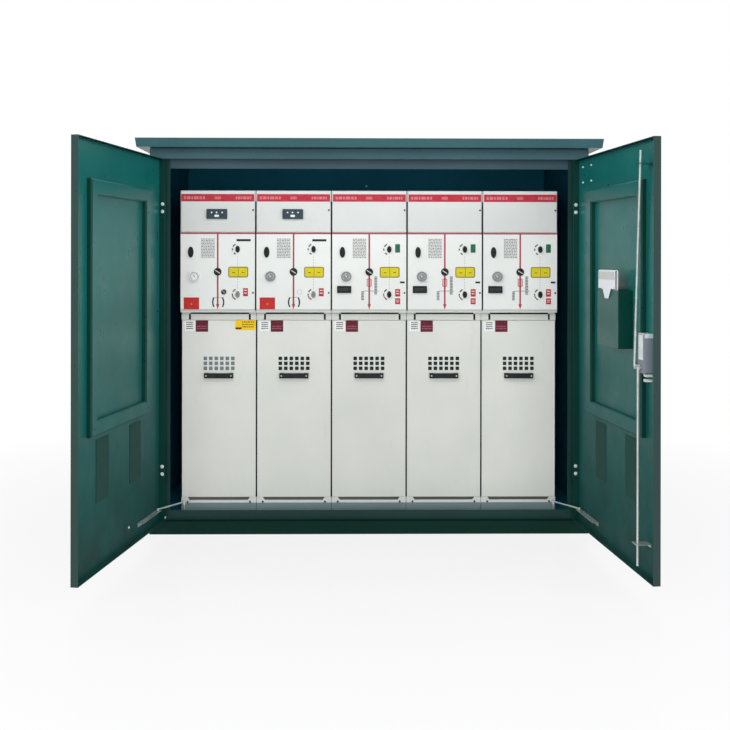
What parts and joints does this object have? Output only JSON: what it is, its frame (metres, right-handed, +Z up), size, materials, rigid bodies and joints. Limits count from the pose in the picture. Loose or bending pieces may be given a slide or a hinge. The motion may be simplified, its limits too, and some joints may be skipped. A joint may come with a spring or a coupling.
{
  "type": "outdoor ring main unit",
  "caption": "Outdoor ring main unit: green sheet-steel housing with double doors standing open over a row of pale switchgear cubicles with mimic panels.",
  "frame": {"origin": "middle of the base's underside", "axes": "+X to the right seen from the front, +Y towards the back, +Z up"},
  "size_m": [2.2898, 2.2289, 1.945],
  "materials": {
    "housing_paint": "satin",
    "cubicle_paint": "satin",
    "plinth_paint": "satin",
    "zinc": "zinc plated",
    "black_plastic": "matte",
    "instrument_plastic": "gloss",
    "pocket_paint": "satin",
    "card": "matte"
  },
  "bodies": {
    "housing": {"base_frame": "housing_paint", "floor_plate": "housing_paint", "left_post": "housing_paint", "right_post": "housing_paint", "frieze": "housing_paint", "lintel": "housing_paint", "sill": "housing_paint", "left_wall": "housing_paint", "right_wall": "housing_paint", "back_wall": "housing_paint", "roof": "housing_paint", "frame_hinges": "housing_paint", "stay_studs": "zinc", "plinths": "plinth_paint", "cubicle_1": "cubicle_paint", "cubicle_2": "cubicle_paint", "cubicle_3": "cubicle_paint", "cubicle_4": "cubicle_paint", "cubicle_5": "cubicle_paint", "lower_cover_1": "cubicle_paint", "lower_cover_2": "cubicle_paint", "lower_cover_3": "cubicle_paint", "lower_cover_4": "cubicle_paint", "lower_cover_5": "cubicle_paint", "instrument_doors": "cubicle_paint", "operation_panels": "cubicle_paint", "cover_handles": "black_plastic", "panel_instruments": "instrument_plastic", "operating_sockets": "black_plastic", "panel_latches": "black_plastic"},
    "left_door": {"left_door": "housing_paint", "left_door_stiffener": "housing_paint", "left_door_screens": "housing_paint", "left_door_hinges": "housing_paint", "left_stay_rail": "zinc"},
    "right_door": {"right_door": "housing_paint", "right_door_stiffener": "housing_paint", "right_door_screens": "housing_paint", "right_door_hinges": "housing_paint", "right_stay_rail": "zinc", "lock_box": "zinc", "rod_guides": "zinc", "escutcheon": "black_plastic", "document_pocket": "pocket_paint", "document_card": "card"},
    "left_stay": {"left_stay": "zinc"},
    "right_stay": {"right_stay": "zinc"},
    "lock": {"lock_cam": "zinc", "door_handle": "black_plastic"},
    "upper_rod": {"upper_rod": "zinc"},
    "lower_rod": {"lower_rod": "zinc"}
  },
  "joints": [
    {"name": "left_door_swing", "type": "hinge", "parent": "housing", "child": "left_door", "pos_m": [-1.018, -0.58, 0.9], "axis": [0, 0, 1], "range_deg": [0, 98.6]},
    {"name": "right_door_swing", "type": "hinge", "parent": "housing", "child": "right_door", "pos_m": [1.018, -0.58, 0.9], "axis": [0, 0, -1], "range_deg": [0, 95.3]},
    {"name": "left_stay_swing", "type": "hinge", "parent": "housing", "child": "left_stay", "pos_m": [-0.905, -0.5, 0.138], "axis": [0, 0, 1], "range_deg": [0, 106.57]},
    {"name": "right_stay_swing", "type": "hinge", "parent": "housing", "child": "right_stay", "pos_m": [0.905, -0.5, 0.138], "axis": [0, 0, -1], "range_deg": [0, 105.41]},
    {"name": "lock_turn", "type": "hinge", "parent": "right_door", "child": "lock", "pos_m": [1.09241, -1.45788, 0.901], "axis": [0.9957, 0.0924, 0], "range_deg": [0, 60]},
    {"name": "upper_rod_slide", "type": "slide", "parent": "right_door", "child": "upper_rod", "axis": [0.007, -0.0751, 0.9971], "range_m": [0, 0.01745]},
    {"name": "lower_rod_slide", "type": "slide", "parent": "right_door", "child": "lower_rod", "axis": [0, 0, -1], "range_m": [0, 0.01745]}
  ],
  "couplings": [
    {"joint": "left_stay_swing", "follows": "left_door_swing", "ratio": 1.0707},
    {"joint": "right_stay_swing", "follows": "right_door_swing", "ratio": 1.0955},
    {"joint": "upper_rod_slide", "follows": "lock_turn", "m_per_rad": 0.015713},
    {"joint": "lower_rod_slide", "follows": "lock_turn", "m_per_rad": 0.015713}
  ]
}
